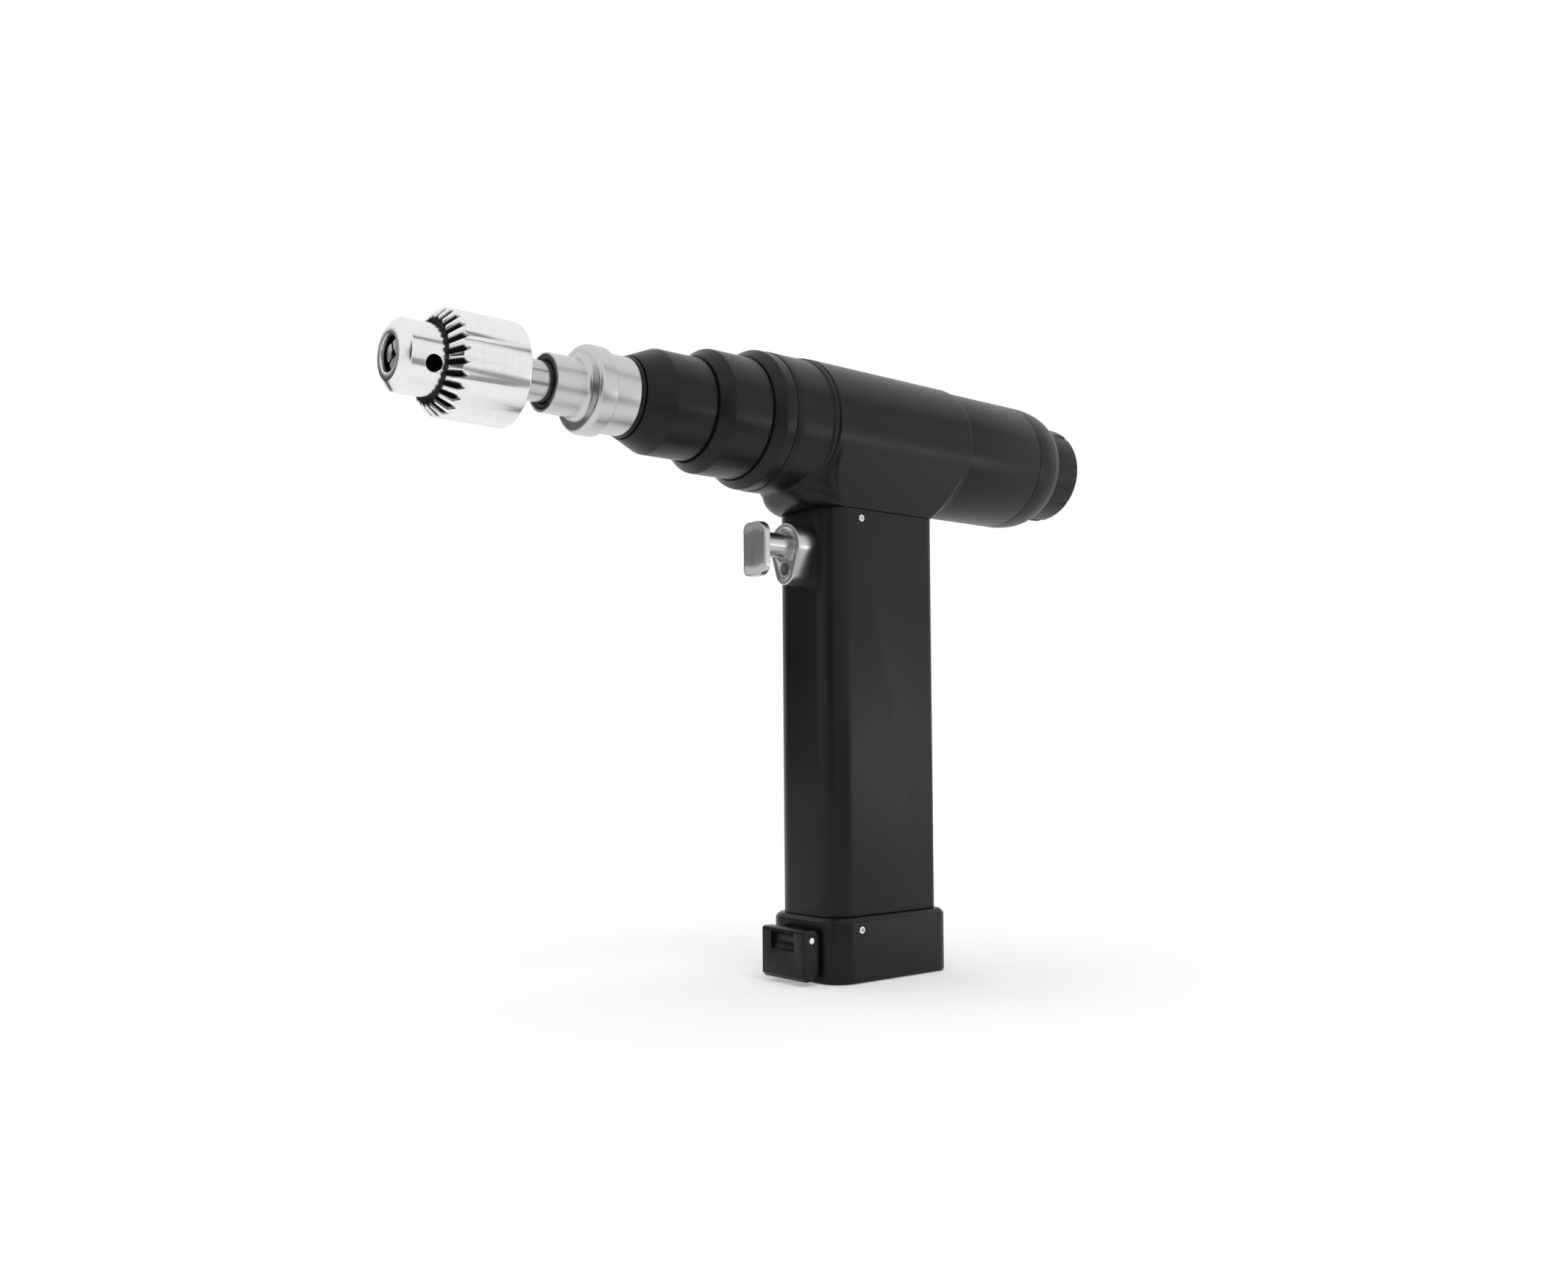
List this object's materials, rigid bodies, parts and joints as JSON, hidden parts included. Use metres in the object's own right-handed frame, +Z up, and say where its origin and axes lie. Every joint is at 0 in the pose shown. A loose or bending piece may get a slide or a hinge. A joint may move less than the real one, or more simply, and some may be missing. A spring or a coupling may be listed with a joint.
{
  "type": "surgical power drill",
  "caption": "Pistol-grip battery drill with keyed three-jaw chuck, stepped nose, release collar, push trigger and latched base cap.",
  "frame": {"origin": "centre of the underside of the base cap, where the drill stands", "axes": "+Z up the handle, -X towards the chuck, +Y is the symmetry normal; the drill axis lies along X at z = 171.7 mm"},
  "size_m": [0.2554, 0.0436, 0.1935],
  "materials": {
    "black_shell": "satin black anodised",
    "chuck_steel": "turned and polished",
    "satin_steel": "bead blasted",
    "screw_steel": "bright",
    "gear_steel": "ground",
    "seal_rubber": "matt",
    "magnet": "plated",
    "winding": "enamelled wire",
    "board": "circuit board",
    "inner_plastic": "moulded",
    "cell_wrap": "shrink sleeve",
    "contact_brass": "plated"
  },
  "bodies": {
    "housing": {"head_casing": "black_shell", "motor_tube": "black_shell", "rear_end_cap": "black_shell", "nose_cone": "black_shell", "nose_ring_mid": "black_shell", "nose_ring_rear": "black_shell", "fixed_sleeve": "satin_steel", "handle_shell": "black_shell", "handle_screws": "screw_steel", "trigger_escutcheon": "satin_steel", "trigger_bush": "satin_steel", "trigger_switch": "inner_plastic", "trigger_spring": "gear_steel", "controller_board": "board", "terminal_block": "inner_plastic", "ring_gear": "gear_steel", "motor_can": "gear_steel", "motor_stator": "winding", "motor_bearings": "gear_steel", "spindle_bearings": "gear_steel", "collar_spring": "gear_steel"},
    "spindle": {"output_spindle": "satin_steel", "planet_pins": "gear_steel", "chuck_body": "chuck_steel"},
    "chuck_sleeve": {"chuck_sleeve": "chuck_steel", "chuck_nut": "gear_steel"},
    "jaw_1": {"chuck_jaw_1": "gear_steel"},
    "jaw_2": {"chuck_jaw_2": "gear_steel"},
    "jaw_3": {"chuck_jaw_3": "gear_steel"},
    "planet_1": {"planet_gear_1": "gear_steel"},
    "planet_2": {"planet_gear_2": "gear_steel"},
    "planet_3": {"planet_gear_3": "gear_steel"},
    "rotor": {"rotor_shaft": "gear_steel", "sun_gear": "gear_steel", "rotor_magnet": "magnet"},
    "collar": {"release_collar": "satin_steel", "collar_seal": "seal_rubber"},
    "trigger": {"trigger_stem": "satin_steel", "trigger_pad": "satin_steel"},
    "battery": {"base_cap": "black_shell", "battery_case": "inner_plastic", "battery_cells": "cell_wrap", "battery_contacts": "contact_brass", "cap_screws": "screw_steel", "latch_pin": "screw_steel"},
    "latch": {"latch_lever": "black_shell"},
    "knob": {"rear_knob": "black_shell"}
  },
  "joints": [
    {"name": "chuck_spin", "type": "hinge", "parent": "housing", "child": "spindle", "pos_m": [-0.08, 0, 0.1717], "axis": [1, 0, 0], "continuous": true},
    {"name": "sleeve_turn", "type": "hinge", "parent": "spindle", "child": "chuck_sleeve", "pos_m": [-0.137, 0, 0.1717], "axis": [1, 0, 0], "range_deg": [0, 2016]},
    {"name": "jaw_slide_1", "type": "slide", "parent": "spindle", "child": "jaw_1", "axis": [0.9744, 0.2123, 0.0743], "range_m": [0, 0.0084]},
    {"name": "jaw_slide_2", "type": "slide", "parent": "spindle", "child": "jaw_2", "axis": [0.9744, -0.1705, 0.1467], "range_m": [0, 0.0084]},
    {"name": "jaw_slide_3", "type": "slide", "parent": "spindle", "child": "jaw_3", "axis": [0.9744, -0.0418, -0.221], "range_m": [0, 0.0084]},
    {"name": "planet_spin_1", "type": "hinge", "parent": "spindle", "child": "planet_1", "pos_m": [-0.0374, 0, 0.1822], "axis": [1, 0, 0], "continuous": true},
    {"name": "planet_spin_2", "type": "hinge", "parent": "spindle", "child": "planet_2", "pos_m": [-0.0374, -0.00909, 0.16645], "axis": [1, 0, 0], "continuous": true},
    {"name": "planet_spin_3", "type": "hinge", "parent": "spindle", "child": "planet_3", "pos_m": [-0.0374, 0.00909, 0.16645], "axis": [1, 0, 0], "continuous": true},
    {"name": "rotor_spin", "type": "hinge", "parent": "housing", "child": "rotor", "pos_m": [0.02, 0, 0.1717], "axis": [1, 0, 0], "continuous": true},
    {"name": "collar_slide", "type": "slide", "parent": "housing", "child": "collar", "axis": [1, 0, 0], "range_m": [0, 0.004], "stiffness_N_per_m": 1200, "springref_m": -0.003, "deforming": ["collar_spring"]},
    {"name": "trigger_slide", "type": "slide", "parent": "housing", "child": "trigger", "axis": [1, 0, 0], "range_m": [0, 0.006], "stiffness_N_per_m": 500, "springref_m": -0.003, "deforming": ["trigger_spring"]},
    {"name": "battery_slide", "type": "slide", "parent": "housing", "child": "battery", "axis": [0, 0, -1], "range_m": [0, 0.12]},
    {"name": "latch_hinge", "type": "hinge", "parent": "battery", "child": "latch", "pos_m": [-0.0281, 0, 0.0135], "axis": [0, 1, 0], "range_deg": [0, 75]},
    {"name": "knob_turn", "type": "hinge", "parent": "housing", "child": "knob", "pos_m": [0.09, 0, 0.1717], "axis": [1, 0, 0], "range_deg": [0, 60]}
  ],
  "couplings": [
    {"joint": "jaw_slide_1", "follows": "sleeve_turn", "m_per_rad": 0.00023873},
    {"joint": "jaw_slide_2", "follows": "sleeve_turn", "m_per_rad": 0.00023873},
    {"joint": "jaw_slide_3", "follows": "sleeve_turn", "m_per_rad": 0.00023873},
    {"joint": "planet_spin_1", "follows": "chuck_spin", "ratio": -2.6667},
    {"joint": "planet_spin_2", "follows": "chuck_spin", "ratio": -2.6667},
    {"joint": "planet_spin_3", "follows": "chuck_spin", "ratio": -2.6667},
    {"joint": "rotor_spin", "follows": "chuck_spin", "ratio": 5}
  ]
}
